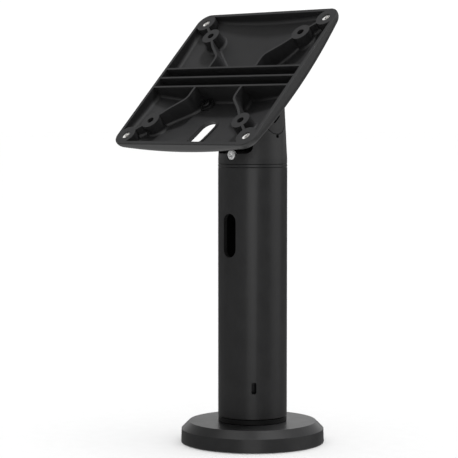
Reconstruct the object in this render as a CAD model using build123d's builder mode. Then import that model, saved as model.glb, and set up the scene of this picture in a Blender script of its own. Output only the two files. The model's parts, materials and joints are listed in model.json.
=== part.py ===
"""Counter-top display stand: a screw-down base, a swivelling tube and a tilting VESA tray.

Millimetres. The origin is the centre of the base's underside, +Z is up the tube, the tray
faces -Y and up, and +X is on the right seen from the front.
"""
import os
from math import cos, radians, sin, tan

from build123d import *

# Base and its fixings.
BASE_R = 44.2
BASE_FOOT_R = 44.5
BASE_H = 13.4
BASE_CHAMFER = 4.6
BASE_ROUNDING = 1.4
BASE_WALL = 3.0
SKIRT_Z = 0.4
PAD_H = 1.0
PAD_BORE_R = 9.5
PAD_HOLE_R = 3.7
FLANGE_R = 40.3
FLANGE_TOP = 6.0
FIXING_CIRCLE_R = 31.0
COUNTER_HOLE_R = 2.1
COVER_BOSS_R = 3.5

# Swivel spindle, its bushes and its stop.
SPINDLE_R = 12.0
CABLE_BORE_R = 9.0
SPINDLE_TOP = 66.0
SPINDLE_FLANGE_R = 22.0
SPINDLE_FLANGE_TOP = 9.4
SPINDLE_SCREW_R = 17.0
RUNNING_GAP = 0.05
BODY_GAP = 0.3
FIT_GAP = 0.03
RING_TOP = 16.6
RING_R = 21.25
SPINDLE_CHAMFER = 0.6
STOP_PIN_CIRCLE_R = 15.6
STOP_PIN_R = 1.25
STOP_GROOVE_HALF = 1.6
STOP_GROOVE_DEPTH = 2.8
STOP_PIN_REACH = 2.5
STOP_PIN_L = 10.0
STOP_PIN_SOCKET = 8.0
STOP_BLOCK_W = 2.3
LOWER_BUSH_H = 13.0
UPPER_BUSH_Z = 50.0
UPPER_BUSH_H = 10.0
CLIP_GROOVE_Z = 61.7
CLIP_GROOVE_R = 11.1
CLIP_H = 1.2
CLIP_R = 14.6
CLIP_GAP = 6.0
WAVE_WASHER_R = 16.0

# Column tube.
TUBE_R = 21.4
TUBE_WALL = 2.9
TUBE_BOTTOM = 16.9
TUBE_TOP = 171.4
TUBE_CHAMFER = 0.3
OUTLET_W = 10.0
OUTLET_H = 27.0
OUTLET_Z = 129.65
LOCK_SLOT_W = 3.0
LOCK_SLOT_H = 7.0
LOCK_SLOT_CORNER_R = 0.9
LOCK_SLOT_Z = 36.3
LOCK_SLOT_AZIMUTH = 45.0

# Core that joins the tube and the tilt head.
CORE_BOTTOM = 146.5
CORE_TOP = 181.0
CORE_BORE_R = 14.0
CORE_UPPER_R = 17.6
CORE_CHAMFER = 1.0
CORE_SCREW_Z = 160.5
CORE_SCREW_AZIMUTHS = (155.0, 205.0)
CORE_SCREW_SINK = 0.4

# Tilt head.
HEAD_R = 21.35
HEAD_BOTTOM = 173.5
HEAD_STRAIGHT_TOP = 176.5
HEAD_DRAFT = 2.9
HEAD_BACK_TOP = 210.5
HEAD_SCREW_Z = 178.9
HEAD_SCREW_AZIMUTHS = (3.5, 183.5)
HEAD_SCREW_SEAT = 2.2
HEAD_SCREW_SINK = 0.2
HEAD_SCREW_GAP = 0.35
NECK_GAP_BELOW = 0.1
NECK_GAP_ABOVE = 0.35
NECK_CHAMFER = 0.15
WINDOW_HALF_W = 14.3
WINDOW_BOTTOM = 179.7
WINDOW_H = 40.0
WINDOW_CORNER_R = 4.0
SLOT_HALF_W = 13.6
HEAD_BORE_R = 16.8

# Tilt pivot.
PIVOT_Z = 200.9
LOBE_R = 15.8
PIN_R = 4.0
PIN_HEAD_R = 6.5
PIN_HEAD_H = 1.2
PIN_GROOVE_R = 3.3
PIN_END_X = 6.2
CLIP_X = 7.0
PIN_CLIP_R = 6.2
PIN_CLIP_H = 0.8
PIN_CLIP_GAP = 4.6
DISC_SPRING_R = 7.0
CAP_R = 9.1
CAP_GROOVE_R = 9.55
CAP_PIN_GAP = 0.2
CAP_SEAT_X = 15.3
CAP_SLOT_L = 7.0
CAP_SLOT_W = 1.6
CAP_SLOT_DEPTH = 2.4
CAP_SLOT_TURNS = {-90: 139.0, 90: 41.0}
NOTCH_W = 2.6
NOTCH_H = 2.0
NOTCH_DROP = 10.6
NOTCH_DEPTH = 2.6
EAR_R = 9.5
EAR_IN_X = 9.0
EAR_OUT_X = 12.7
BUSH_R = 5.5
BUSH_FLANGE_R = 8.5

# Tray, square with VESA 75 and VESA 100 holes, facing up and forwards.
TRAY_TILT = 45.0
TRAY_CENTRE = Vector(0, -25.0, 226.7)
TRAY_W = 115.8
TRAY_CORNER_R = 8.5
TRAY_WALL = 2.5
TRAY_FLOOR = 2.0
TRAY_RIM_R = 0.6
CROWN_DEPTH = 15.8
CROWN_EDGE_DEPTH = 8.35
CROWN_CORNER_DEPTH = 4.1
CROWN_FILLET = 4.8
CROWN_REACH = 66.0
CROWN_STEPS = 8
POCKET_FILLET = 2.6
RIB_DEPTH = 25.0
RIB_T = 1.4
CROSS_RIB_PITCH = 8.1
S_RIB_T = 1.6
S_RIB_X = 19.3
S_RIB_BEND_U = 18.5
S_RIB_KNEE_X = 29.0
S_RIB_KNEE_U = 27.5
S_RIB_BEND_R = 7.0
VESA_100 = 100.0
VESA_75 = 75.0
CORNER_BOSS_R = 6.6
INNER_BOSS_R = 6.1
INNER_HOLE_R = 2.25
INNER_HOLE_DEPTH = 8.0
INSERT_R = 2.8
INSERT_BORE_R = 1.65
INSERT_L = 4.6
INSERT_RECESS = 1.0
CABLE_SLOT_W = 11.4
CABLE_SLOT_TOP_U = -27.0
CABLE_SLOT_END_U = -50.5
CABLE_LIP_W = 1.5
CABLE_LIP_H = 0.7

# Yoke behind the tray.
YOKE_PLATE_W = 38.0
YOKE_PLATE_L = 34.0
YOKE_PLATE_DEPTH = 19.2
YOKE_PLATE_CORNER_R = 5.0
YOKE_SCREW_X = 14.5
YOKE_SCREW_U = 12.6
YOKE_PAD_R = 4.4
YOKE_PAD_H = 2.6
YOKE_PAD_DEPTH = 11.4

# Screws: shank and head sizes, and the clearance holes for them.
M3_R = 1.5
M3_HEAD_R = 3.0
M3_HEAD_H = 1.6
M3_LENGTH = 7.4
M3_KEY_R = 1.15
M3_HOLE_R = M3_R + FIT_GAP
M4_R = 2.0
M4_HEAD_R = 3.9
M4_HEAD_H = 2.2
M4_LENGTH = 6.5
M4_KEY_R = 1.45
M4_BUTTON_R = 3.4
M4_BUTTON_H = 1.9
M4_BUTTON_LENGTH = 8.4
M4_HOLE_R = M4_R + FIT_GAP
HEAD_SCREW_HEAD_R = 2.9
HEAD_SCREW_HEAD_H = 2.0
HEAD_SCREW_LENGTH = 7.0
HEAD_SCREW_KEY_R = 1.35
HEAD_ROUNDING_SHARE = 0.3
KEY_DEPTH_SHARE = 0.65

# Small edge breaks, and how far a cutting shape runs past what it cuts.
EDGE = 0.4
OVERCUT = 1.0

tube_bore_r = TUBE_R - TUBE_WALL
tray_up = Vector(0, cos(radians(TRAY_TILT)), sin(radians(TRAY_TILT)))
tray_out = Vector(0, -sin(radians(TRAY_TILT)), cos(radians(TRAY_TILT)))
tray_plane = Plane(origin=TRAY_CENTRE, x_dir=(1, 0, 0), z_dir=tray_out)
pivot = Vector(0, 0, PIVOT_Z)
pivot_plane = Plane(origin=pivot, x_dir=tray_up, z_dir=(1, 0, 0))
pivot_depth = (TRAY_CENTRE - pivot).dot(tray_out)
crown_drop = CROWN_DEPTH - CROWN_EDGE_DEPTH
crown_twist = CROWN_CORNER_DEPTH + CROWN_DEPTH - 2 * CROWN_EDGE_DEPTH
head_top = PIVOT_Z + LOBE_R + OVERCUT
head_reach = HEAD_R + OVERCUT
cap_pocket = HEAD_R - CAP_SEAT_X + OVERCUT
core_reach = TUBE_R - CORE_BORE_R + 2 * OVERCUT
below = (Align.CENTER, Align.CENTER, Align.MAX)
above = (Align.CENTER, Align.CENTER, Align.MIN)

os.makedirs("parts", exist_ok=True)


def radial_plane(azimuth, height, radius=0.0):
    """Plane facing outwards from the tube's axis; azimuth 0 is the front, 90 is +X."""
    out = Vector(sin(radians(azimuth)), -cos(radians(azimuth)), 0)
    side = Vector(cos(radians(azimuth)), sin(radians(azimuth)), 0)
    return Plane(origin=out * radius + Vector(0, 0, height), x_dir=side, z_dir=out)


def screw(head_r, head_h, shank_r, length, key_r, countersunk):
    """One hex-socket screw that points down -Z, with the top of its head at z = 0."""
    with BuildPart() as one:
        Cylinder(shank_r, length, align=below)
        if countersunk:
            Cone(shank_r, head_r, head_h, align=below)
        else:
            Cylinder(head_r, head_h, align=below)
            fillet(one.edges().group_by(Axis.Z)[-1], radius=head_h * HEAD_ROUNDING_SHARE)
        with BuildSketch(Plane.XY):
            RegularPolygon(key_r, 6)
        extrude(amount=-head_h * KEY_DEPTH_SHARE, mode=Mode.SUBTRACT)
    return one.part


def ring(outer_r, inner_r, bottom, top):
    """Add a plain ring about the Z axis to the part that is being built."""
    with BuildSketch(Plane.XY.offset(bottom)) as section:
        Circle(outer_r)
        Circle(inner_r, mode=Mode.SUBTRACT)
    extrude(section.sketch, amount=top - bottom)


m3_flat = screw(M3_HEAD_R, M3_HEAD_H, M3_R, M3_LENGTH, M3_KEY_R, True)
m4_flat = screw(M4_HEAD_R, M4_HEAD_H, M4_R, M4_LENGTH, M4_KEY_R, True)
m4_button = screw(M4_BUTTON_R, M4_BUTTON_H, M4_R, M4_BUTTON_LENGTH, M4_KEY_R, False)
head_screw = screw(
    HEAD_SCREW_HEAD_R, HEAD_SCREW_HEAD_H, M4_R, HEAD_SCREW_LENGTH, HEAD_SCREW_KEY_R, False
)

# ---------------------------------------------------------------- base pad
with BuildPart() as base_pad:
    ring(FLANGE_R, PAD_BORE_R, 0, PAD_H)
    with BuildSketch(Plane.XY):
        with PolarLocations(FIXING_CIRCLE_R, 3, start_angle=90):
            Circle(PAD_HOLE_R)
    extrude(amount=PAD_H, mode=Mode.SUBTRACT)
base_pad.part.label = "base_pad"
export_step(base_pad.part, "parts/base_pad.step")

# ---------------------------------------------------------------- base flange, steel
with BuildPart() as base_flange:
    ring(FLANGE_R, CABLE_BORE_R, PAD_H, FLANGE_TOP)
    with BuildSketch(Plane.XY.offset(PAD_H)):
        with PolarLocations(FIXING_CIRCLE_R, 3, start_angle=90):
            Circle(COUNTER_HOLE_R)
        with PolarLocations(FIXING_CIRCLE_R, 3, start_angle=30):
            Circle(M3_HOLE_R)
        with PolarLocations(SPINDLE_SCREW_R, 4, start_angle=45):
            Circle(M4_HOLE_R)
    extrude(amount=FLANGE_TOP - PAD_H, mode=Mode.SUBTRACT)
    with Locations(Plane.XY.offset(PAD_H)):
        with PolarLocations(FIXING_CIRCLE_R, 3, start_angle=30):
            Cone(M3_HEAD_R + FIT_GAP, M3_HOLE_R, M3_HEAD_H, align=above, mode=Mode.SUBTRACT)
base_flange.part.label = "base_flange"
export_step(base_flange.part, "parts/base_flange.step")

# ---------------------------------------------------------------- base cover
with BuildPart() as base_cover:
    skirt_in = BASE_R - BASE_WALL
    roof = BASE_H - BASE_WALL
    with BuildSketch(Plane.XZ) as cover_profile:
        with BuildLine():
            Polyline(
                (SPINDLE_R + FIT_GAP, roof),
                (SPINDLE_R + FIT_GAP, BASE_H),
                (BASE_R - BASE_CHAMFER, BASE_H),
                (BASE_R, BASE_H - BASE_CHAMFER),
                (BASE_FOOT_R, SKIRT_Z),
                (skirt_in, SKIRT_Z),
                (skirt_in, roof - BASE_CHAMFER / 2),
                (skirt_in - BASE_CHAMFER / 2, roof),
                close=True,
            )
        make_face()
        outer_corners = cover_profile.vertices().filter_by(lambda v: v.X > BASE_R - BASE_CHAMFER - FIT_GAP)
        fillet(outer_corners.filter_by(lambda v: v.Z > FLANGE_TOP), radius=BASE_ROUNDING)
        rim_corners = cover_profile.vertices().filter_by(lambda v: v.X > BASE_R - FIT_GAP)
        fillet(rim_corners.sort_by(Axis.Z)[0], radius=EDGE)
    revolve(axis=Axis.Z)
    with BuildSketch(Plane.XY.offset(FLANGE_TOP)):
        with PolarLocations(FIXING_CIRCLE_R, 3, start_angle=30):
            Circle(COVER_BOSS_R)
            Circle(M3_HOLE_R, mode=Mode.SUBTRACT)
    extrude(amount=roof - FLANGE_TOP)
base_cover.part.label = "base_cover"
export_step(base_cover.part, "parts/base_cover.step")

# ---------------------------------------------------------------- cover screws, from below
with BuildPart() as cover_screws:
    with Locations(Plane(origin=(0, 0, PAD_H), x_dir=(1, 0, 0), z_dir=(0, 0, -1))):
        with PolarLocations(FIXING_CIRCLE_R, 3, start_angle=-30):
            add(m3_flat)
cover_screws.part.label = "cover_screws"
export_step(cover_screws.part, "parts/cover_screws.step")

# ---------------------------------------------------------------- hollow swivel spindle
with BuildPart() as swivel_spindle:
    ring(SPINDLE_FLANGE_R, CABLE_BORE_R, FLANGE_TOP, SPINDLE_FLANGE_TOP)
    ring(SPINDLE_R, CABLE_BORE_R, FLANGE_TOP, SPINDLE_TOP)
    chamfer(swivel_spindle.edges().group_by(Axis.Z)[-1], length=SPINDLE_CHAMFER)
    with BuildSketch(Plane.XY.offset(CLIP_GROOVE_Z)):
        Circle(SPINDLE_R + OVERCUT)
        Circle(CLIP_GROOVE_R, mode=Mode.SUBTRACT)
    extrude(amount=CLIP_H, mode=Mode.SUBTRACT)
    with Locations(Plane.XY.offset(SPINDLE_FLANGE_TOP)):
        with PolarLocations(SPINDLE_SCREW_R, 4, start_angle=45):
            Cylinder(M4_HOLE_R, 2 * (SPINDLE_FLANGE_TOP - FLANGE_TOP + OVERCUT), mode=Mode.SUBTRACT)
            Cone(M4_HOLE_R, M4_HEAD_R + FIT_GAP, M4_HEAD_H, align=below, mode=Mode.SUBTRACT)
swivel_spindle.part.label = "swivel_spindle"
export_step(swivel_spindle.part, "parts/swivel_spindle.step")

# ---------------------------------------------------------------- spindle screws
with BuildPart() as spindle_screws:
    with Locations(Plane.XY.offset(SPINDLE_FLANGE_TOP)):
        with PolarLocations(SPINDLE_SCREW_R, 4, start_angle=45):
            add(m4_flat)
spindle_screws.part.label = "spindle_screws"
export_step(spindle_screws.part, "parts/spindle_screws.step")

# ---------------------------------------------------------------- glide ring with the stop groove
with BuildPart() as glide_ring:
    ring(RING_R, SPINDLE_R + FIT_GAP, BASE_H, RING_TOP)
    with BuildSketch(Plane.XY.offset(RING_TOP)):
        Circle(STOP_PIN_CIRCLE_R + STOP_GROOVE_HALF)
        Circle(STOP_PIN_CIRCLE_R - STOP_GROOVE_HALF, mode=Mode.SUBTRACT)
        with Locations((0, STOP_PIN_CIRCLE_R)):
            Rectangle(STOP_BLOCK_W, 2 * (STOP_GROOVE_HALF + OVERCUT), mode=Mode.SUBTRACT)
    extrude(amount=-STOP_GROOVE_DEPTH, mode=Mode.SUBTRACT)
    chamfer(glide_ring.edges().filter_by(GeomType.CIRCLE).sort_by(SortBy.RADIUS)[-2:], length=EDGE)
glide_ring.part.label = "glide_ring"
export_step(glide_ring.part, "parts/glide_ring.step")

# ---------------------------------------------------------------- wave washer, drawn pressed flat
with BuildPart() as wave_washer:
    wave_bottom = UPPER_BUSH_Z + UPPER_BUSH_H + BODY_GAP
    ring(WAVE_WASHER_R, SPINDLE_R + FIT_GAP, wave_bottom, CLIP_GROOVE_Z)
wave_washer.part.label = "wave_washer"
export_step(wave_washer.part, "parts/wave_washer.step")

# ---------------------------------------------------------------- retaining ring
with BuildPart() as retaining_ring:
    with BuildSketch(Plane.XY.offset(CLIP_GROOVE_Z)):
        Circle(CLIP_R)
        Circle(CLIP_GROOVE_R + FIT_GAP, mode=Mode.SUBTRACT)
        with Locations((0, (CLIP_R + CLIP_GROOVE_R) / 2)):
            Rectangle(CLIP_GAP, CLIP_GAP, mode=Mode.SUBTRACT)
    extrude(amount=CLIP_H)
retaining_ring.part.label = "retaining_ring"
export_step(retaining_ring.part, "parts/retaining_ring.step")

# ---------------------------------------------------------------- column tube
with BuildPart() as column_tube:
    ring(TUBE_R, tube_bore_r, TUBE_BOTTOM, TUBE_TOP)
    tube_rims = column_tube.edges().filter_by(GeomType.CIRCLE).sort_by(SortBy.RADIUS)[-2:]
    chamfer(tube_rims, length=TUBE_CHAMFER)
    with BuildSketch(radial_plane(0, OUTLET_Z)):
        SlotOverall(OUTLET_H, OUTLET_W, rotation=90)
    extrude(amount=TUBE_R + OVERCUT, mode=Mode.SUBTRACT)
    with BuildSketch(radial_plane(LOCK_SLOT_AZIMUTH, LOCK_SLOT_Z)):
        RectangleRounded(LOCK_SLOT_W, LOCK_SLOT_H, LOCK_SLOT_CORNER_R)
    extrude(amount=TUBE_R + OVERCUT, mode=Mode.SUBTRACT)
    for azimuth in CORE_SCREW_AZIMUTHS:
        with Locations(radial_plane(azimuth, CORE_SCREW_Z, TUBE_R - CORE_SCREW_SINK)):
            Cylinder(M3_HOLE_R, 2 * (TUBE_WALL + OVERCUT), mode=Mode.SUBTRACT)
            Cone(M3_HOLE_R, M3_HEAD_R + FIT_GAP, M3_HEAD_H, align=below, mode=Mode.SUBTRACT)
            Cylinder(M3_HEAD_R + FIT_GAP, CORE_SCREW_SINK + OVERCUT, align=above, mode=Mode.SUBTRACT)
column_tube.part.label = "column_tube"
export_step(column_tube.part, "parts/column_tube.step")

# ---------------------------------------------------------------- lower and upper bush
with BuildPart() as lower_bush:
    ring(tube_bore_r - FIT_GAP, SPINDLE_R + RUNNING_GAP, TUBE_BOTTOM, TUBE_BOTTOM + LOWER_BUSH_H)
    with Locations((0, -STOP_PIN_CIRCLE_R, TUBE_BOTTOM)):
        Cylinder(STOP_PIN_R + FIT_GAP, STOP_PIN_SOCKET, align=above, mode=Mode.SUBTRACT)
lower_bush.part.label = "lower_bush"
export_step(lower_bush.part, "parts/lower_bush.step")

with BuildPart() as upper_bush:
    upper_bush_top = UPPER_BUSH_Z + UPPER_BUSH_H
    ring(tube_bore_r - FIT_GAP, SPINDLE_R + RUNNING_GAP, UPPER_BUSH_Z, upper_bush_top)
upper_bush.part.label = "upper_bush"
export_step(upper_bush.part, "parts/upper_bush.step")

# ---------------------------------------------------------------- swivel stop pin
with BuildPart() as stop_pin:
    with Locations((0, -STOP_PIN_CIRCLE_R, RING_TOP - STOP_PIN_REACH)):
        Cylinder(STOP_PIN_R, STOP_PIN_L, align=above)
stop_pin.part.label = "stop_pin"
export_step(stop_pin.part, "parts/stop_pin.step")

# ---------------------------------------------------------------- tube core
with BuildPart() as tube_core:
    ring(tube_bore_r - FIT_GAP, CORE_BORE_R, CORE_BOTTOM, TUBE_TOP)
    ring(CORE_UPPER_R, CORE_BORE_R, TUBE_TOP, CORE_TOP)
    chamfer(tube_core.edges().group_by(Axis.Z)[-1].sort_by(SortBy.RADIUS)[0], length=CORE_CHAMFER)
    for azimuth in CORE_SCREW_AZIMUTHS:
        with Locations(radial_plane(azimuth, CORE_SCREW_Z, CORE_BORE_R - OVERCUT)):
            Cylinder(M3_HOLE_R, core_reach, align=above, mode=Mode.SUBTRACT)
    for azimuth in HEAD_SCREW_AZIMUTHS:
        with Locations(radial_plane(azimuth, HEAD_SCREW_Z, CORE_BORE_R - OVERCUT)):
            Cylinder(M4_HOLE_R, core_reach, align=above, mode=Mode.SUBTRACT)
tube_core.part.label = "tube_core"
export_step(tube_core.part, "parts/tube_core.step")

# ---------------------------------------------------------------- core screws, at the back
with BuildPart() as core_screws:
    for azimuth in CORE_SCREW_AZIMUTHS:
        with Locations(radial_plane(azimuth, CORE_SCREW_Z, TUBE_R - CORE_SCREW_SINK)):
            add(m3_flat)
core_screws.part.label = "core_screws"
export_step(core_screws.part, "parts/core_screws.step")

# ---------------------------------------------------------------- neck ring
with BuildPart() as neck_ring:
    ring(TUBE_R, CORE_UPPER_R + FIT_GAP, TUBE_TOP + NECK_GAP_BELOW, HEAD_BOTTOM - NECK_GAP_ABOVE)
    neck_rims = neck_ring.edges().filter_by(GeomType.CIRCLE).sort_by(SortBy.RADIUS)[-2:]
    chamfer(neck_rims, length=NECK_CHAMFER)
neck_ring.part.label = "neck_ring"
export_step(neck_ring.part, "parts/neck_ring.step")

# ---------------------------------------------------------------- drafted head envelope
with BuildPart() as head_envelope:
    with BuildSketch(Plane.XZ):
        with BuildLine():
            Polyline(
                (0, HEAD_BOTTOM),
                (HEAD_R, HEAD_BOTTOM),
                (HEAD_R, HEAD_STRAIGHT_TOP),
                (HEAD_R - (head_top - HEAD_STRAIGHT_TOP) * tan(radians(HEAD_DRAFT)), head_top),
                (0, head_top),
                close=True,
            )
        make_face()
    revolve(axis=Axis.Z)

# ---------------------------------------------------------------- tilt head with its two cheeks
with BuildPart() as tilt_head:
    add(head_envelope.part)
    with BuildSketch(Plane.YZ):
        with Locations((0, (HEAD_BOTTOM + PIVOT_Z) / 2)):
            Rectangle(2 * head_reach, PIVOT_Z - HEAD_BOTTOM)
        with Locations((0, PIVOT_Z)):
            Circle(LOBE_R)
        with Locations((head_reach / 2, (PIVOT_Z + HEAD_BACK_TOP) / 2)):
            Rectangle(head_reach, HEAD_BACK_TOP - PIVOT_Z)
    extrude(amount=head_reach, both=True, mode=Mode.INTERSECT)
    with Locations((0, 0, HEAD_BOTTOM)):
        Cylinder(CORE_UPPER_R + FIT_GAP, CORE_TOP - HEAD_BOTTOM, align=above, mode=Mode.SUBTRACT)
    with BuildSketch(Plane.XY.offset(CORE_TOP)):
        Circle(HEAD_BORE_R)
        with Locations((0, -HEAD_R / 2)):
            Rectangle(2 * SLOT_HALF_W, HEAD_R)
        Rectangle(2 * SLOT_HALF_W, 4 * HEAD_R, mode=Mode.INTERSECT)
    extrude(amount=head_top - CORE_TOP, mode=Mode.SUBTRACT)
    with BuildSketch(radial_plane(0, WINDOW_BOTTOM + WINDOW_H / 2)):
        RectangleRounded(2 * WINDOW_HALF_W, WINDOW_H, WINDOW_CORNER_R)
        with Locations((0, WINDOW_CORNER_R)):
            Rectangle(2 * WINDOW_HALF_W, WINDOW_H)
    extrude(amount=head_reach, mode=Mode.SUBTRACT)
    for azimuth in HEAD_SCREW_AZIMUTHS:
        with Locations(radial_plane(azimuth, HEAD_SCREW_Z, HEAD_R - HEAD_SCREW_SEAT)):
            screw_bore_r = HEAD_SCREW_HEAD_R + HEAD_SCREW_GAP
            Cylinder(screw_bore_r, HEAD_SCREW_SEAT + OVERCUT, align=above, mode=Mode.SUBTRACT)
            Cylinder(M4_HOLE_R, 2 * (HEAD_R - CORE_UPPER_R), mode=Mode.SUBTRACT)
    for side in (-90, 90):
        with Locations(radial_plane(side, PIVOT_Z, CAP_SEAT_X)):
            Cylinder(CAP_GROOVE_R, cap_pocket, align=above, mode=Mode.SUBTRACT)
            Cylinder(PIN_R + FIT_GAP, 2 * (CAP_SEAT_X - SLOT_HALF_W + OVERCUT), mode=Mode.SUBTRACT)
        with BuildSketch(radial_plane(side, PIVOT_Z - NOTCH_DROP, HEAD_R - NOTCH_DEPTH)):
            SlotOverall(NOTCH_W, NOTCH_H)
        extrude(amount=NOTCH_DEPTH + OVERCUT, mode=Mode.SUBTRACT)
tilt_head.part.label = "tilt_head"
export_step(tilt_head.part, "parts/tilt_head.step")

# ---------------------------------------------------------------- head screws, front and back
with BuildPart() as head_screws:
    for azimuth in HEAD_SCREW_AZIMUTHS:
        with Locations(radial_plane(azimuth, HEAD_SCREW_Z, HEAD_R - HEAD_SCREW_SINK)):
            add(head_screw)
head_screws.part.label = "head_screws"
export_step(head_screws.part, "parts/head_screws.step")

# ---------------------------------------------------------------- pivot pins, one in each cheek
with BuildPart() as pivot_pins:
    for side in (-90, 90):
        with Locations(radial_plane(side, PIVOT_Z, CAP_SEAT_X)):
            Cylinder(PIN_HEAD_R, PIN_HEAD_H, align=above)
            Cylinder(PIN_R, CAP_SEAT_X - PIN_END_X, align=below)
        with Locations(radial_plane(side, PIVOT_Z, CLIP_X)):
            Cylinder(PIN_R + OVERCUT, PIN_CLIP_H, align=above, mode=Mode.SUBTRACT)
            Cylinder(PIN_GROOVE_R, PIN_CLIP_H, align=above)
pivot_pins.part.label = "pivot_pins"
export_step(pivot_pins.part, "parts/pivot_pins.step")

# ---------------------------------------------------------------- pivot caps, flush with the head
with BuildPart() as pivot_caps:
    for side in (-90, 90):
        with Locations(radial_plane(side, PIVOT_Z, CAP_SEAT_X)):
            recess_r = PIN_HEAD_R + CAP_PIN_GAP
            Cylinder(CAP_R, cap_pocket, align=above)
            Cylinder(recess_r, PIN_HEAD_H + CAP_PIN_GAP, align=above, mode=Mode.SUBTRACT)
    add(head_envelope.part, mode=Mode.INTERSECT)
    for side in (-90, 90):
        with BuildSketch(radial_plane(side, PIVOT_Z, HEAD_R - CAP_SLOT_DEPTH)):
            SlotOverall(CAP_SLOT_L, CAP_SLOT_W, rotation=CAP_SLOT_TURNS[side])
        extrude(amount=CAP_SLOT_DEPTH + OVERCUT, mode=Mode.SUBTRACT)
pivot_caps.part.label = "pivot_caps"
export_step(pivot_caps.part, "parts/pivot_caps.step")

# ---------------------------------------------------------------- disc springs and pin clips
with BuildPart() as disc_springs:
    for side in (-90, 90):
        with Locations(radial_plane(side, PIVOT_Z, CLIP_X + PIN_CLIP_H)):
            spring_h = EAR_IN_X - BODY_GAP - CLIP_X - PIN_CLIP_H
            Cylinder(DISC_SPRING_R, spring_h, align=above)
            Cylinder(PIN_R + FIT_GAP, 2 * (spring_h + OVERCUT), mode=Mode.SUBTRACT)
disc_springs.part.label = "disc_springs"
export_step(disc_springs.part, "parts/disc_springs.step")

with BuildPart() as pin_clips:
    for side in (-90, 90):
        with Locations(radial_plane(side, PIVOT_Z, CLIP_X)):
            clip_cut = 2 * (PIN_CLIP_H + OVERCUT)
            Cylinder(PIN_CLIP_R, PIN_CLIP_H, align=above)
            Cylinder(PIN_GROOVE_R + FIT_GAP, clip_cut, mode=Mode.SUBTRACT)
            with Locations((0, -PIN_CLIP_R, 0)):
                Box(PIN_CLIP_GAP, PIN_CLIP_R, clip_cut, mode=Mode.SUBTRACT)
pin_clips.part.label = "pin_clips"
export_step(pin_clips.part, "parts/pin_clips.step")

# ---------------------------------------------------------------- the tray's crowned back
def crown_depth(x, u):
    """Depth of the crowned back under the rim plane: most in the middle, least in the corners."""
    across = (2 * x / TRAY_W) ** 2
    along = (2 * u / TRAY_W) ** 2
    return CROWN_DEPTH - crown_drop * (across + along) + crown_twist * across * along


def crown_side(raised, out):
    """All that lies on one side of the crowned surface, raised towards the rim; out is 1 or -1."""
    steps = [CROWN_REACH * k / CROWN_STEPS for k in range(-CROWN_STEPS, CROWN_STEPS + 1)]
    grid = [
        [tray_plane.from_local_coords(Vector(x, u, raised - crown_depth(x, u))) for u in steps]
        for x in steps
    ]
    surface = Face.make_surface_from_array_of_points(grid)
    with BuildPart() as side:
        extrude(surface, amount=2 * RIB_DEPTH, dir=tray_out * out)
    return side.part


under_back = crown_side(0, -1)
under_skin = crown_side(TRAY_FLOOR / 2, -1)
under_floor = crown_side(TRAY_FLOOR, -1)
over_back = crown_side(-FIT_GAP, 1)

# ---------------------------------------------------------------- tray envelope and its pocket
with BuildPart() as tray_envelope:
    with BuildSketch(tray_plane):
        RectangleRounded(TRAY_W, TRAY_W, TRAY_CORNER_R)
    extrude(amount=-RIB_DEPTH)
    add(under_back, mode=Mode.SUBTRACT)
    rim_face = tray_envelope.faces().filter_by(GeomType.PLANE).sort_by(Axis(TRAY_CENTRE, tray_out))[-1]
    fillet(rim_face.edges(), radius=TRAY_RIM_R)
    crown_face = tray_envelope.faces().filter_by(GeomType.BSPLINE)
    fillet(crown_face.edges(), radius=CROWN_FILLET)

with BuildPart() as tray_pocket:
    with BuildSketch(tray_plane):
        pocket_w = TRAY_W - 2 * TRAY_WALL
        RectangleRounded(pocket_w, pocket_w, TRAY_CORNER_R - TRAY_WALL)
    extrude(amount=-RIB_DEPTH)
    add(under_floor, mode=Mode.SUBTRACT)
    pocket_floor = tray_pocket.faces().filter_by(GeomType.BSPLINE)
    fillet(pocket_floor.edges(), radius=POCKET_FILLET)

# ---------------------------------------------------------------- what stands in the pocket
cable_slot_l = CABLE_SLOT_TOP_U - CABLE_SLOT_END_U
cable_slot_u = (CABLE_SLOT_TOP_U + CABLE_SLOT_END_U) / 2
with BuildPart() as cable_lip:
    with BuildSketch(tray_plane):
        with Locations((0, cable_slot_u)):
            SlotOverall(cable_slot_l + 2 * CABLE_LIP_W, CABLE_SLOT_W + 2 * CABLE_LIP_W, rotation=90)
    extrude(amount=-RIB_DEPTH)
    add(under_skin, mode=Mode.SUBTRACT)
    add(crown_side(TRAY_FLOOR + CABLE_LIP_H, 1), mode=Mode.SUBTRACT)

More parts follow.
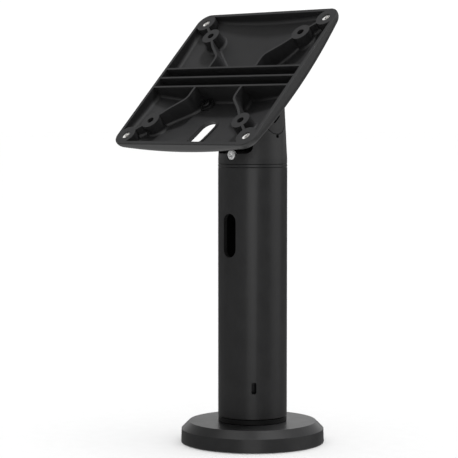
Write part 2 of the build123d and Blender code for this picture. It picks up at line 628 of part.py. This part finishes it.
with BuildPart() as tray_ribs:
    with BuildSketch(tray_plane):
        for row in (-1, 0, 1):
            with Locations((0, row * CROSS_RIB_PITCH)):
                Rectangle(TRAY_W, RIB_T)
        for side_x in (-1, 1):
            for side_u in (-1, 1):
                with BuildLine() as s_curve:
                    FilletPolyline(
                        (side_x * S_RIB_X, side_u * CROSS_RIB_PITCH),
                        (side_x * S_RIB_X, side_u * S_RIB_BEND_U),
                        (side_x * S_RIB_KNEE_X, side_u * S_RIB_KNEE_U),
                        (side_x * VESA_75 / 2, side_u * VESA_75 / 2),
                        radius=S_RIB_BEND_R,
                    )
                trace(s_curve.line, line_width=S_RIB_T)
                with BuildLine() as link:
                    Line(
                        (side_x * VESA_75 / 2, side_u * VESA_75 / 2),
                        (side_x * VESA_100 / 2, side_u * VESA_100 / 2),
                    )
                trace(link.line, line_width=S_RIB_T)
    extrude(amount=-RIB_DEPTH)
    with BuildSketch(tray_plane):
        with GridLocations(VESA_100, VESA_100, 2, 2):
            Circle(CORNER_BOSS_R)
        with GridLocations(VESA_75, VESA_75, 2, 2):
            Circle(INNER_BOSS_R)
    extrude(amount=-RIB_DEPTH)
    add(under_skin, mode=Mode.SUBTRACT)
    with BuildSketch(tray_plane):
        RectangleRounded(TRAY_W - TRAY_WALL, TRAY_W - TRAY_WALL, TRAY_CORNER_R - TRAY_WALL / 2)
    extrude(amount=-RIB_DEPTH, mode=Mode.INTERSECT)

# ---------------------------------------------------------------- tray
with BuildPart() as vesa_tray:
    add(tray_envelope.part)
    add(tray_pocket.part, mode=Mode.SUBTRACT)
    add(cable_lip.part)
    add(tray_ribs.part)
    with BuildSketch(tray_plane.offset(-YOKE_PAD_DEPTH)):
        with GridLocations(2 * YOKE_SCREW_X, 2 * YOKE_SCREW_U, 2, 2):
            Circle(YOKE_PAD_R)
    extrude(amount=-YOKE_PAD_H)
    with BuildSketch(tray_plane.offset(-YOKE_PAD_DEPTH)):
        with GridLocations(2 * YOKE_SCREW_X, 2 * YOKE_SCREW_U, 2, 2):
            Circle(M4_HOLE_R)
    extrude(amount=-RIB_DEPTH, mode=Mode.SUBTRACT)
    with BuildSketch(tray_plane):
        with Locations((0, cable_slot_u)):
            SlotOverall(cable_slot_l, CABLE_SLOT_W, rotation=90)
    extrude(amount=-RIB_DEPTH, mode=Mode.SUBTRACT)
    with BuildSketch(tray_plane):
        with GridLocations(VESA_100, VESA_100, 2, 2):
            Circle(INSERT_R)
    extrude(amount=-INSERT_RECESS - INSERT_L, mode=Mode.SUBTRACT)
    with BuildSketch(tray_plane):
        with GridLocations(VESA_75, VESA_75, 2, 2):
            Circle(INNER_HOLE_R)
    extrude(amount=-INNER_HOLE_DEPTH, mode=Mode.SUBTRACT)
vesa_tray.part.label = "vesa_tray"
export_step(vesa_tray.part, "parts/vesa_tray.step")

# ---------------------------------------------------------------- threaded inserts
with BuildPart() as thread_inserts:
    with BuildSketch(tray_plane.offset(-INSERT_RECESS)):
        with GridLocations(VESA_100, VESA_100, 2, 2):
            Circle(INSERT_R)
            Circle(INSERT_BORE_R, mode=Mode.SUBTRACT)
    extrude(amount=-INSERT_L)
thread_inserts.part.label = "thread_inserts"
export_step(thread_inserts.part, "parts/thread_inserts.step")

# ---------------------------------------------------------------- tilt yoke
with BuildPart() as tilt_yoke:
    with BuildSketch(tray_plane.offset(-YOKE_PLATE_DEPTH)):
        RectangleRounded(YOKE_PLATE_W, YOKE_PLATE_L, YOKE_PLATE_CORNER_R)
    extrude(amount=YOKE_PLATE_DEPTH - CROWN_EDGE_DEPTH)
    add(over_back, mode=Mode.SUBTRACT)
    for side in (-1, 1):
        with BuildSketch(pivot_plane.offset(side * (EAR_IN_X + EAR_OUT_X) / 2)):
            Circle(EAR_R)
            ear_l = pivot_depth - YOKE_PLATE_DEPTH + OVERCUT
            Rectangle(2 * EAR_R, ear_l, align=(Align.CENTER, Align.MIN))
            Circle(BUSH_R, mode=Mode.SUBTRACT)
        extrude(amount=(EAR_OUT_X - EAR_IN_X) / 2, both=True)
    with BuildSketch(tray_plane):
        with GridLocations(2 * YOKE_SCREW_X, 2 * YOKE_SCREW_U, 2, 2):
            Circle(M4_HOLE_R)
    extrude(amount=-YOKE_PLATE_DEPTH - OVERCUT, mode=Mode.SUBTRACT)
tilt_yoke.part.label = "tilt_yoke"
export_step(tilt_yoke.part, "parts/tilt_yoke.step")

# ---------------------------------------------------------------- yoke screws, from inside the tray
with BuildPart() as yoke_screws:
    with Locations(tray_plane.offset(-YOKE_PAD_DEPTH + M4_BUTTON_H)):
        with GridLocations(2 * YOKE_SCREW_X, 2 * YOKE_SCREW_U, 2, 2):
            add(m4_button)
yoke_screws.part.label = "yoke_screws"
export_step(yoke_screws.part, "parts/yoke_screws.step")

# ---------------------------------------------------------------- flanged tilt bushes
with BuildPart() as tilt_bushes:
    for side in (-90, 90):
        with Locations(radial_plane(side, PIVOT_Z, EAR_OUT_X)):
            Cylinder(BUSH_FLANGE_R, SLOT_HALF_W - BODY_GAP - EAR_OUT_X, align=above)
            Cylinder(BUSH_R - FIT_GAP, EAR_OUT_X - EAR_IN_X, align=below)
            Cylinder(PIN_R + RUNNING_GAP, 2 * (EAR_OUT_X - EAR_IN_X + OVERCUT), mode=Mode.SUBTRACT)
tilt_bushes.part.label = "tilt_bushes"
export_step(tilt_bushes.part, "parts/tilt_bushes.step")
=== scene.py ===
"""Looks for the counter-top display stand: materials, floor, light and camera around the CAD frame."""

import bmesh
import bpy
import json
from math import cos, pi, radians, sin, tan
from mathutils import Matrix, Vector


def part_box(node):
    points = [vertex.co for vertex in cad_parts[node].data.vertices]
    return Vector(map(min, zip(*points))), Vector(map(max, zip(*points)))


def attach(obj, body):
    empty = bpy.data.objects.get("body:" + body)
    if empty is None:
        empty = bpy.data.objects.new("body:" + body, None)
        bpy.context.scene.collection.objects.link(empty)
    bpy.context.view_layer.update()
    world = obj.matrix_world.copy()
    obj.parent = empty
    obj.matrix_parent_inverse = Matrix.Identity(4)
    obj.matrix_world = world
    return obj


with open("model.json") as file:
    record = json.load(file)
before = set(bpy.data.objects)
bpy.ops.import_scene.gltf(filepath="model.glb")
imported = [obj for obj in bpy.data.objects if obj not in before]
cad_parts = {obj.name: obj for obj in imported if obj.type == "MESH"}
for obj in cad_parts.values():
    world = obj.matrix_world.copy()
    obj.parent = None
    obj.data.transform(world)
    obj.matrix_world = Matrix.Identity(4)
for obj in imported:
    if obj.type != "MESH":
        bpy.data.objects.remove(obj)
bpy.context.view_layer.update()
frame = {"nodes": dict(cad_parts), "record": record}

MM = 0.001
WHITE = (1, 1, 1, 1)

# Camera, in metres: to the right of the front, at the height of the tray.
CAMERA_PLACE = Vector((0.7566, -0.8231, 0.1985))
CAMERA_AIM = Vector((-0.0108, -0.0099, 0.1328))
CAMERA_LENS = 142.0
CAMERA_SENSOR = 36.0
CAMERA_NEAR, CAMERA_FAR = 0.01, 100.0

# The tray's own frame and its crowned floor, in millimetres, as in the CAD.
TRAY_TILT = radians(45.0)
TRAY_CENTRE = Vector((0.0, -25.0, 226.7))
TRAY_W = 115.8
FLOOR_T = 2.0
CROWN_DEPTH, CROWN_EDGE_DEPTH, CROWN_CORNER_DEPTH = 15.8, 8.35, 4.1
CROSS_RIB_U = 8.1
CROSS_RIB_HALF_T = 0.7
CROSS_RIB_HALF_L, CROSS_RIB_STEP = 54, 6
S_RIB = ((19.3, 8.1), (19.3, 18.5), (29.0, 27.5), (37.5, 37.5))
S_RIB_BEND_R = 7.0
S_RIB_HALF_T = 0.8
LINK = ((37.5, 37.5), (50.0, 50.0))
BOSS_CENTRE = Vector((37.5, 37.5))
BOSS_R = 6.1
BOSS_SIDES = 36

# The fillets at the feet of the ribs and bosses, sunk a little into what they join.
FOOT_R = 1.7
FOOT_STEPS = 6
FOOT_SUNK = 0.08

# The tube's and the head's outer skin, and the painted shade on all that lies inside it.
TUBE_R = 21.4
HEAD_R = 21.35
HEAD_STRAIGHT_TOP = 176.5
HEAD_DRAFT = radians(2.9)
SKIN_T = 0.3
INSIDE_SHADE_COLOUR = (0.002, 0.002, 0.002, 1)
INSIDE_ROUGHNESS = 0.9

# Dark rings of painted shade in the grooves between the tube, the neck ring and the tilt head.
GROOVE_SHADE_R = 21.15
GROOVE_SHADE_INNER_R = 19.0
GROOVE_SHADE_SIDES = 128

SHARP_FROM = radians(40.0)

# Mottled colour and roughness: cells per metre, and where its range starts and ends.
MOTTLE_SCALE, MOTTLE_DETAIL = 120.0, 6.0
MOTTLE_LOW, MOTTLE_HIGH = 0.3, 0.7
GRAIN_DETAIL = 3.0

# Light. The aim and the sizes are in metres; azimuth 0 is in front of the stand and 90 on its right.
FLOOR_SIZE = 60
LIGHT_AIM_Z = 0.12
BACKDROP_LIGHT = 1.05
ROOM_LIGHT = 0.5
# What shiny surfaces see of the room, by height: (0 straight down to 1 straight up, brightness).
MIRRORED_WALLS = ((0.0, 1.0), (0.2, 0.9), (0.35, 0.3), (0.47, 0.05), (0.505, 0.04), (0.54, 0.75),
                  (0.65, 0.55), (0.75, 0.3), (1.0, 0.25))
# And the panel over them, by the cosine of the angle to its middle.
PANEL_MIDDLE = (0.165, -0.18, 0.97)
MIRRORED_PANEL = ((0.0, 0.0), (0.78, 0.0), (0.92, 1.0), (1.0, 1.0))


# ---------------------------------------------------------------- materials
def noise(nodes, links, scale, detail):
    """Noise in the piece's own space."""
    place = nodes.new("ShaderNodeTexCoord")
    cells = nodes.new("ShaderNodeTexNoise")
    cells.inputs["Scale"].default_value = scale
    cells.inputs["Detail"].default_value = detail
    links.new(place.outputs["Object"], cells.inputs["Vector"])
    return cells.outputs["Fac"]


def mottle_colour(nodes, links, shader, mottle, colour, variation):
    """Let the colour run from a little darker to a little lighter."""
    tint = nodes.new("ShaderNodeValToRGB")
    low, high = tint.color_ramp.elements
    low.position, high.position = MOTTLE_LOW, MOTTLE_HIGH
    low.color = (*(c * (1 - variation) for c in colour), 1)
    high.color = (*(min(c * (1 + variation), 1.0) for c in colour), 1)
    links.new(mottle, tint.inputs["Fac"])
    links.new(tint.outputs["Color"], shader.inputs["Base Color"])


def mottle_roughness(nodes, links, shader, mottle, roughness, spread):
    """Let the roughness run from a little glossier to a little duller."""
    gloss = nodes.new("ShaderNodeMapRange")
    gloss.inputs["To Min"].default_value = roughness - spread
    gloss.inputs["To Max"].default_value = roughness + spread
    links.new(mottle, gloss.inputs["Value"])
    links.new(gloss.outputs["Result"], shader.inputs["Roughness"])


def roughen(nodes, links, shader, grain, bump):
    """Add the fine relief of the surface."""
    relief = nodes.new("ShaderNodeBump")
    relief.inputs["Distance"].default_value = bump * MM
    relief.inputs["Strength"].default_value = 1.0
    links.new(noise(nodes, links, 1.0 / (grain * MM), GRAIN_DETAIL), relief.inputs["Height"])
    links.new(relief.outputs["Normal"], shader.inputs["Normal"])


def material(name, colour, roughness, metallic=0.0, variation=0.08, grain=0.25, bump=0.02,
             rough_spread=0.04, specular=0.5):
    """A painted, moulded or metal surface: mottled colour and roughness over a fine bump.

    grain is the size of the bump's cells in millimetres, bump its height in millimetres.
    """
    made = bpy.data.materials.new(name)
    made.use_nodes = True
    nodes, links = made.node_tree.nodes, made.node_tree.links
    shader = nodes["Principled BSDF"]
    shader.inputs["Metallic"].default_value = metallic
    shader.inputs["Specular IOR Level"].default_value = specular
    mottle = noise(nodes, links, MOTTLE_SCALE, MOTTLE_DETAIL)
    mottle_colour(nodes, links, shader, mottle, colour, variation)
    mottle_roughness(nodes, links, shader, mottle, roughness, rough_spread)
    roughen(nodes, links, shader, grain, bump)
    return made


def number(nodes, links, operation, *values):
    """One step of arithmetic on sockets and plain numbers."""
    step = nodes.new("ShaderNodeMath")
    step.operation = operation
    for socket, value in zip(step.inputs, values):
        if isinstance(value, float):
            socket.default_value = value
        else:
            links.new(value, socket)
    return step.outputs["Value"]


def outer_skin(nodes, links, skin_r, taper, taper_from_z):
    """1 on the outer skin of a column part, and 0 deeper than SKIN_T inside it."""
    place = nodes.new("ShaderNodeTexCoord")
    split = nodes.new("ShaderNodeSeparateXYZ")
    links.new(place.outputs["Object"], split.inputs["Vector"])
    flat = nodes.new("ShaderNodeCombineXYZ")
    links.new(split.outputs["X"], flat.inputs["X"])
    links.new(split.outputs["Y"], flat.inputs["Y"])
    from_axis = nodes.new("ShaderNodeVectorMath")
    from_axis.operation = "LENGTH"
    links.new(flat.outputs["Vector"], from_axis.inputs[0])
    above = number(nodes, links, "SUBTRACT", split.outputs["Z"], taper_from_z * MM)
    above = number(nodes, links, "MAXIMUM", above, 0.0)
    radius = number(nodes, links, "MULTIPLY_ADD", above, taper, from_axis.outputs["Value"])
    return number(nodes, links, "GREATER_THAN", radius, (skin_r - SKIN_T) * MM)


def only_on_skin(nodes, links, skin, socket, kind, inside):
    """Keep what feeds a shader socket on the skin, and put one value inside."""
    choose = nodes.new("ShaderNodeMix")
    choose.data_type = kind
    choose.inputs["A"].default_value = inside
    links.new(skin, choose.inputs["Factor"])
    links.new(socket.links[0].from_socket, choose.inputs["B"])
    links.new(choose.outputs["Result"], socket)


def paint_inside_shade(made, skin_r, taper=0.0, taper_from_z=0.0):
    """Paint shade on a column part's inside: all that lies deeper than its outer skin.

    skin_r is the radius of the skin in millimetres, which shrinks by taper above taper_from_z.
    """
    nodes, links = made.node_tree.nodes, made.node_tree.links
    shader = nodes["Principled BSDF"]
    skin = outer_skin(nodes, links, skin_r, taper, taper_from_z)
    only_on_skin(nodes, links, skin, shader.inputs["Base Color"], "RGBA", INSIDE_SHADE_COLOUR)
    only_on_skin(nodes, links, skin, shader.inputs["Roughness"], "FLOAT", INSIDE_ROUGHNESS)
    return made


FINISH = {
    "black_powder_coat": material("powder_coat", (0.0155, 0.0155, 0.016), 0.30, grain=0.8, bump=0.03),
    "black_die_cast": material("die_cast", (0.0155, 0.0155, 0.016), 0.38, grain=0.7, bump=0.03),
    "black_plastic": material("moulded_plastic", (0.012, 0.012, 0.0124), 0.45, grain=0.3, bump=0.02),
    "black_acetal": material("acetal", (0.006, 0.006, 0.006), 0.4, grain=0.5, bump=0.01),
    "black_rubber": material("rubber", (0.01, 0.01, 0.01), 0.8, grain=0.4, bump=0.05),
    "black_steel": material("black_steel", (0.03, 0.03, 0.031), 0.35, metallic=0.8, grain=0.3, bump=0.01),
    "zinc_steel": material("zinc_steel", (0.5, 0.51, 0.53), 0.35, metallic=1.0, grain=0.5, bump=0.01),
    "spring_steel": material("spring_steel", (0.25, 0.25, 0.26), 0.35, metallic=1.0, grain=0.4, bump=0.01),
    "bright_steel": material("bright_steel", (0.95, 0.95, 0.95), 0.28, metallic=0.6, grain=0.4, bump=0.01),
    "nickel_insert": material("nickel_insert", (0.9, 0.89, 0.87), 0.3, metallic=0.5, grain=0.4, bump=0.01),
    "black_aluminium": material("black_aluminium", (0.004, 0.004, 0.004), 0.6, grain=0.5, bump=0.01,
                                specular=0.2),
}

# Nodes that look a little different from the rest of their slot; the tube and the head carry painted shade
# inside.
OWN_FINISH = {
    "column_tube": paint_inside_shade(FINISH["black_powder_coat"].copy(), TUBE_R),
    "tilt_head": paint_inside_shade(FINISH["black_die_cast"].copy(), HEAD_R, tan(HEAD_DRAFT), HEAD_STRAIGHT_TOP),
    "neck_ring": material("satin_acetal", (0.015, 0.015, 0.0155), 0.32, grain=0.5, bump=0.01),
    # The glide ring: black acetal darkened past its slot, partly its own colour and partly painted shade of
    # the gap under the tube.
    "glide_ring": material("dark_acetal_and_gap_shade", (0.003, 0.003, 0.003), 0.5, grain=0.5, bump=0.01, specular=0.2),
}


def finish_nodes():
    """Give each CAD node the finish of its slot, or its own."""
    for subpart in frame["record"]["subparts"]:
        node, slot = subpart["node"], subpart["material_slot"]
        slots = frame["nodes"][node].data.materials
        slots.clear()
        slots.append(OWN_FINISH.get(node, FINISH[slot]))


# ---------------------------------------------------------------- pieces
def on_tray(x, u, depth):
    """A point of the tray in the row frame: x across, u up the tray, depth under its rim plane."""
    up = Vector((0, cos(TRAY_TILT), sin(TRAY_TILT)))
    out = Vector((0, -sin(TRAY_TILT), cos(TRAY_TILT)))
    return (TRAY_CENTRE + Vector((x, 0, 0)) + up * u - out * depth) * MM


def floor_depth(x, u):
    """Depth of the crowned floor under the rim plane."""
    across, along = (2 * x / TRAY_W) ** 2, (2 * u / TRAY_W) ** 2
    drop = CROWN_DEPTH - CROWN_EDGE_DEPTH
    twist = CROWN_CORNER_DEPTH + CROWN_DEPTH - 2 * CROWN_EDGE_DEPTH
    return CROWN_DEPTH - FLOOR_T - drop * (across + along) + twist * across * along


def rounded(corners, radius, steps=6):
    """A line through the corners, with each inner corner rounded off."""
    corners = [Vector(c) for c in corners]
    line = [corners[0]]
    for before, corner, after in zip(corners, corners[1:], corners[2:]):
        towards, away = (before - corner).normalized(), (after - corner).normalized()
        reach = radius / tan(towards.angle(away) / 2)
        first, last = corner + towards * reach, corner + away * reach
        for k in range(steps + 1):
            t = k / steps
            line.append((1 - t) ** 2 * first + 2 * t * (1 - t) * corner + t ** 2 * last)
    return line + [corners[-1]]


def join_sections(faces, start, size, count, closed):
    """Join each section of a swept shape to the next, and cap its ends if it is open."""
    for i in range(count if closed else count - 1):
        here, there = start + i * size, start + (i + 1) % count * size
        for k in range(size):
            following = (k + 1) % size
            faces.append((here + k, here + following, there + following, there + k))
    if not closed:
        faces.append(tuple(start + k for k in range(size)))
        faces.append(tuple(start + (count - 1) * size + k for k in reversed(range(size))))


def foot_section():
    """The fillet's section, as (out from the wall, up from the floor)."""
    section = [(-FOOT_SUNK, -FOOT_SUNK), (-FOOT_SUNK, FOOT_R)]
    for k in range(1, FOOT_STEPS):
        turn = pi / 2 * k / FOOT_STEPS
        section.append((FOOT_R * (1 - cos(turn)), FOOT_R * (1 - sin(turn))))
    return section + [(FOOT_R, -FOOT_SUNK)]


def add_foot(vertices, faces, line, half_t, side, closed=False):
    """Add the fillet between the floor and one side of a wall that follows the line."""
    section = foot_section()
    start, count = len(vertices), len(line)
    for i, spot in enumerate(line):
        before = line[(i - 1) % count] if closed or i else spot
        after = line[(i + 1) % count] if closed or i < count - 1 else spot
        along = (after - before).normalized()
        outwards = Vector((along.y, -along.x)) * side
        for away, height in section:
            x, u = spot + outwards * (half_t + away)
            vertices.append(on_tray(x, u, floor_depth(x, u) - height))
    join_sections(faces, start, len(section), count, closed)


def add_piece(name, vertices, faces, finish):
    """Make a piece of these faces, smooth up to its sharp edges."""
    shape = bpy.data.meshes.new(name)
    shape.from_pydata(vertices, [], faces)
    outwards = bmesh.new()
    outwards.from_mesh(shape)
    bmesh.ops.recalc_face_normals(outwards, faces=outwards.faces)
    outwards.to_mesh(shape)
    outwards.free()
    shape.shade_smooth()
    shape.set_sharp_from_angle(angle=SHARP_FROM)
    piece = bpy.data.objects.new(name, shape)
    bpy.context.scene.collection.objects.link(piece)
    piece.data.materials.append(finish)
    return piece


def make_feet():
    """The fillets where the ribs and the inner bosses meet the tray's floor."""
    vertices, faces = [], []
    around = [Vector((cos(turn), sin(turn))) * BOSS_R
              for turn in (2 * pi * k / BOSS_SIDES for k in range(BOSS_SIDES))]
    for flip in (Vector((x_side, u_side)) for x_side in (-1, 1) for u_side in (-1, 1)):
        for side in (-1, 1):
            s_rib = [p * flip for p in rounded(S_RIB, S_RIB_BEND_R)]
            add_foot(vertices, faces, s_rib, S_RIB_HALF_T, side)
            add_foot(vertices, faces, [Vector(p) * flip for p in LINK], S_RIB_HALF_T, side)
        add_foot(vertices, faces, [p + BOSS_CENTRE * flip for p in around], 0.0, 1, closed=True)
    for u_side in (-1, 1):
        reach = range(-CROSS_RIB_HALF_L, CROSS_RIB_HALF_L + 1, CROSS_RIB_STEP)
        cross_rib = [Vector((x, CROSS_RIB_U * u_side)) for x in reach]
        add_foot(vertices, faces, cross_rib, CROSS_RIB_HALF_T, -u_side)
    feet = add_piece("rib_feet", vertices, faces, FINISH["black_plastic"])
    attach(feet, "tray")
    return feet


def make_neck_groove_shade():
    """Two thin near-black rings of painted shade, which fill the grooves under and over the neck ring."""
    ring_low, ring_high = (corner.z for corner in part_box("neck_ring"))
    grooves = ((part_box("column_tube")[1].z, ring_low), (ring_high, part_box("tilt_head")[0].z))
    inner, outer = GROOVE_SHADE_INNER_R * MM, GROOVE_SHADE_R * MM
    vertices, faces = [], []
    for low, high in grooves:
        section = ((inner, low), (outer, low), (outer, high), (inner, high))
        start = len(vertices)
        for k in range(GROOVE_SHADE_SIDES):
            turn = 2 * pi * k / GROOVE_SHADE_SIDES
            vertices.extend((r * cos(turn), r * sin(turn), z) for r, z in section)
        join_sections(faces, start, len(section), GROOVE_SHADE_SIDES, closed=True)
    groove_shade = add_piece("neck_groove_shade", vertices, faces, OWN_FINISH["glide_ring"])
    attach(groove_shade, "column")
    return groove_shade


def make_floor():
    """A wide pale floor at the height the base stands on."""
    bpy.ops.mesh.primitive_plane_add(size=FLOOR_SIZE, location=(0, 0, 0))
    floor = bpy.context.object
    floor.name = "floor"
    floor.data.materials.append(material("pale_floor", (0.93, 0.93, 0.93), 0.9, variation=0.01,
                                         grain=2.0, bump=0.01, specular=0.1))
    floor.visible_glossy = False
    return floor


# ---------------------------------------------------------------- light and camera
def graded(nodes, links, source, stops):
    """A grey ramp over a value that runs from 0 to 1."""
    ramp = nodes.new("ShaderNodeValToRGB")
    steps = ramp.color_ramp.elements
    ends = {0.0: 0, 1.0: -1}
    for position, level in stops:
        stop = steps[ends[position]] if position in ends else steps.new(position)
        stop.color = (level, level, level, 1)
    links.new(source, ramp.inputs["Fac"])
    return ramp.outputs["Color"]


def mirrored_room(nodes, links):
    """The colour of the walls and the panel that shiny surfaces see."""
    place = nodes.new("ShaderNodeTexCoord")
    split = nodes.new("ShaderNodeSeparateXYZ")
    links.new(place.outputs["Generated"], split.inputs["Vector"])
    height = nodes.new("ShaderNodeMapRange")
    height.inputs["From Min"].default_value = -1.0
    links.new(split.outputs["Z"], height.inputs["Value"])
    towards_panel = nodes.new("ShaderNodeVectorMath")
    towards_panel.operation = "DOT_PRODUCT"
    towards_panel.inputs[1].default_value = PANEL_MIDDLE
    links.new(place.outputs["Generated"], towards_panel.inputs[0])
    both = nodes.new("ShaderNodeVectorMath")
    both.operation = "ADD"
    links.new(graded(nodes, links, height.outputs["Result"], MIRRORED_WALLS), both.inputs[0])
    links.new(graded(nodes, links, towards_panel.outputs["Value"], MIRRORED_PANEL), both.inputs[1])
    return both.outputs["Vector"]


def make_world():
    """A white backdrop and a dim even room; shiny surfaces see the mirrored room instead."""
    world = bpy.data.worlds.new("studio")
    bpy.context.scene.world = world
    world.use_nodes = True
    nodes, links = world.node_tree.nodes, world.node_tree.links
    room = nodes["Background"]
    room.inputs["Color"].default_value = WHITE
    room.inputs["Strength"].default_value = ROOM_LIGHT
    mirrored = nodes.new("ShaderNodeBackground")
    links.new(mirrored_room(nodes, links), mirrored.inputs["Color"])
    backdrop = nodes.new("ShaderNodeBackground")
    backdrop.inputs["Color"].default_value = WHITE
    backdrop.inputs["Strength"].default_value = BACKDROP_LIGHT
    path = nodes.new("ShaderNodeLightPath")
    seen = room.outputs["Background"]
    for ray, shown in (("Is Glossy Ray", mirrored), ("Is Camera Ray", backdrop)):
        choose = nodes.new("ShaderNodeMixShader")
        links.new(path.outputs[ray], choose.inputs["Fac"])
        links.new(seen, choose.inputs[1])
        links.new(shown.outputs["Background"], choose.inputs[2])
        seen = choose.outputs["Shader"]
    links.new(seen, nodes["World Output"].inputs["Surface"])


def direction(azimuth, elevation):
    """The way to a light, from the stand."""
    across = cos(radians(elevation))
    return Vector((across * sin(radians(azimuth)), -across * cos(radians(azimuth)), sin(radians(elevation))))


def add_lamp(name, light, towards):
    """A lamp that shines from that way."""
    lamp = bpy.data.objects.new(name, light)
    bpy.context.scene.collection.objects.link(lamp)
    lamp.rotation_euler = (-towards).to_track_quat("-Z", "Y").to_euler()
    return lamp


def area_light(name, azimuth, elevation, distance, width, height, power):
    """One soft box aimed at the tube."""
    light = bpy.data.lights.new(name, "AREA")
    light.shape = "RECTANGLE"
    light.size = width
    light.size_y = height
    light.energy = power
    towards = direction(azimuth, elevation)
    add_lamp(name, light, towards).location = Vector((0, 0, LIGHT_AIM_Z)) + towards * distance


def sun(name, azimuth, elevation, angle, strength, lit, shadow=True):
    """A broad light from far away, which reaches only the lit objects and shows in no reflection."""
    light = bpy.data.lights.new(name, "SUN")
    light.energy = strength
    light.angle = radians(angle)
    light.use_shadow = shadow
    lamp = add_lamp(name, light, direction(azimuth, elevation))
    lamp.visible_glossy = False
    receivers = bpy.data.collections.new(name + "_lights")
    for piece in lit:
        receivers.objects.link(piece)
    lamp.light_linking.receiver_collection = receivers


def make_camera():
    """A long lens at the height of the tray, to the right of the front."""
    data = bpy.data.cameras.new("camera")
    data.lens = CAMERA_LENS
    data.sensor_width = CAMERA_SENSOR
    data.clip_start = CAMERA_NEAR
    data.clip_end = CAMERA_FAR
    camera = bpy.data.objects.new("camera", data)
    bpy.context.scene.collection.objects.link(camera)
    camera.location = CAMERA_PLACE
    camera.rotation_euler = (CAMERA_AIM - CAMERA_PLACE).to_track_quat("-Z", "Y").to_euler()
    bpy.context.scene.camera = camera


finish_nodes()
stand = [*frame["nodes"].values(), make_feet(), make_neck_groove_shade()]
floor = make_floor()
make_world()
sun("key", azimuth=120, elevation=82, angle=9, strength=7.0, lit=stand)
sun("back", azimuth=222, elevation=35, angle=20, strength=3.5, lit=stand)
sun("floor_key", azimuth=100, elevation=78, angle=110, strength=1.3, lit=[floor])
sun("floor_fill", azimuth=0, elevation=90, angle=0, strength=0.66, lit=[floor], shadow=False)
area_light("front_strip", azimuth=42, elevation=11, distance=2.2, width=1.25, height=1.6, power=6.4)
area_light("right_strip", azimuth=127, elevation=10, distance=2.0, width=1.6, height=1.4, power=3.3)
make_camera()
bpy.context.scene.view_settings.view_transform = "Standard"
